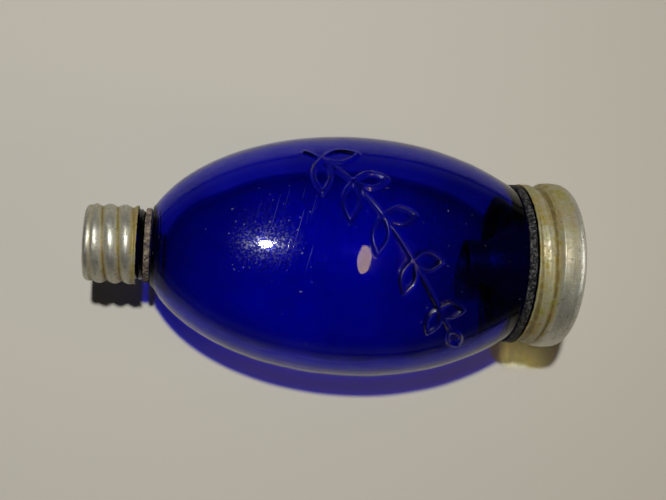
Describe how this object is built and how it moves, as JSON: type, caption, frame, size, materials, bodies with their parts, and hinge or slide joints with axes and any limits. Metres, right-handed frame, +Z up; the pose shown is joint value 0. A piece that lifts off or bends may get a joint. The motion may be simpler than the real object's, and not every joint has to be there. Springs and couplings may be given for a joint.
{
  "type": "pocket spittoon",
  "caption": "Flattened egg-shaped cobalt glass pocket flask with a wide screw-capped mouth over a spill funnel and a narrow screw-capped drain for rinsing.",
  "frame": {"origin": "on the table, under the middle of the object's box", "axes": "+Z up from the broad side the flask lies on, +X along the flask from its drain to its mouth, +Y across its width"},
  "size_m": [0.124, 0.0624, 0.0446],
  "materials": {
    "cobalt_glass": "moulded, glossy, lightly scratched",
    "aluminium": "rolled, oxidised, with ochre patina in the grooves",
    "black_rubber": "dusty",
    "perished_rubber": "dry, cracked and knobbly",
    "hard_rubber": "moulded, black, dull",
    "liner_rubber": "matt sheet rubber"
  },
  "bodies": {
    "flask": {"glass_flask": "cobalt_glass", "spill_funnel": "hard_rubber", "mouth_seal_ring": "black_rubber", "drain_seal_ring": "perished_rubber"},
    "mouth_liner": {"mouth_cap_liner": "liner_rubber"},
    "mouth_cap": {"mouth_cap": "aluminium"},
    "drain_liner": {"drain_cap_liner": "liner_rubber"},
    "drain_cap": {"drain_cap": "aluminium"}
  },
  "joints": [
    {"name": "mouth_cap_lift", "type": "slide", "parent": "flask", "child": "mouth_liner", "axis": [1, 0, 0], "range_m": [0, 0.01001]},
    {"name": "mouth_cap_turn", "type": "hinge", "parent": "mouth_liner", "child": "mouth_cap", "pos_m": [0.056, 0, 0.02188], "axis": [1, 0, 0], "range_deg": [0, 720]},
    {"name": "drain_cap_lift", "type": "slide", "parent": "flask", "child": "drain_liner", "axis": [-1, 0, 0], "range_m": [0, 0.01126]},
    {"name": "drain_cap_turn", "type": "hinge", "parent": "drain_liner", "child": "drain_cap", "pos_m": [-0.055, 0, 0.02188], "axis": [-1, 0, 0], "range_deg": [0, 1080]}
  ],
  "couplings": [
    {"joint": "mouth_cap_lift", "follows": "mouth_cap_turn", "m_per_rad": 0.00079577},
    {"joint": "drain_cap_lift", "follows": "drain_cap_turn", "m_per_rad": 0.00059683}
  ]
}
